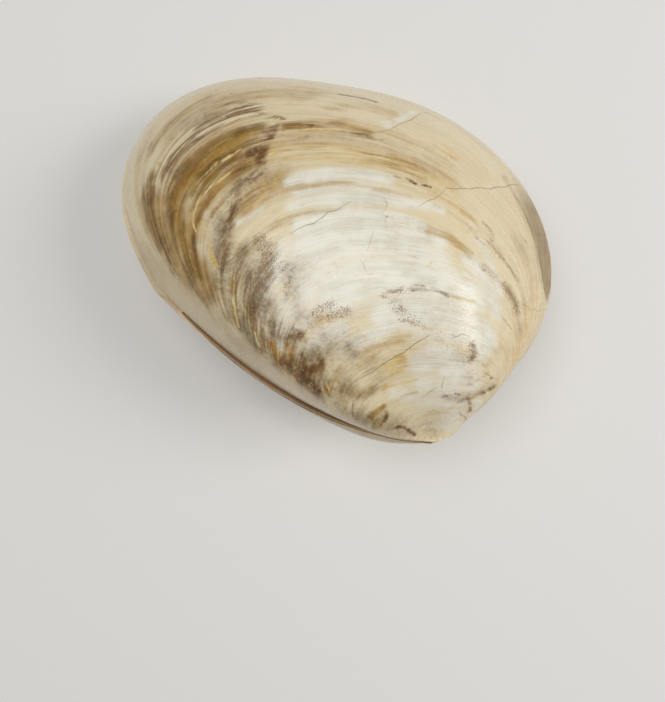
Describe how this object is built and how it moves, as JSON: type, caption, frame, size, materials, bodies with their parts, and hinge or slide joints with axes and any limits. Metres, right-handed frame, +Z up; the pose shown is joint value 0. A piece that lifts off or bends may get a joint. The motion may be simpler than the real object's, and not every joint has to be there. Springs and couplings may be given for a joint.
{
  "type": "polished fossil clam",
  "caption": "Polished fossil bivalve with both valves closed, lying on one valve, with a brown ligament in the hinge seam.",
  "frame": {"origin": "middle of the box round the clam, on the surface it lies on", "axes": "+Z up, across the two closed valves; +X along the length, from the narrow rounded end to the beak end; +Y from the hinge side to the opening edge"},
  "size_m": [0.091, 0.0798, 0.0421],
  "materials": {
    "upper_valve": "polished cream stone with tan, gold and brown growth bands",
    "lower_valve": "polished tan stone with cream and brown growth bands",
    "hinge_ligament": "dull brown stone"
  },
  "bodies": {
    "root": {"upper_valve": "upper_valve", "lower_valve": "lower_valve", "hinge_ligament": "hinge_ligament"}
  },
  "joints": []
}
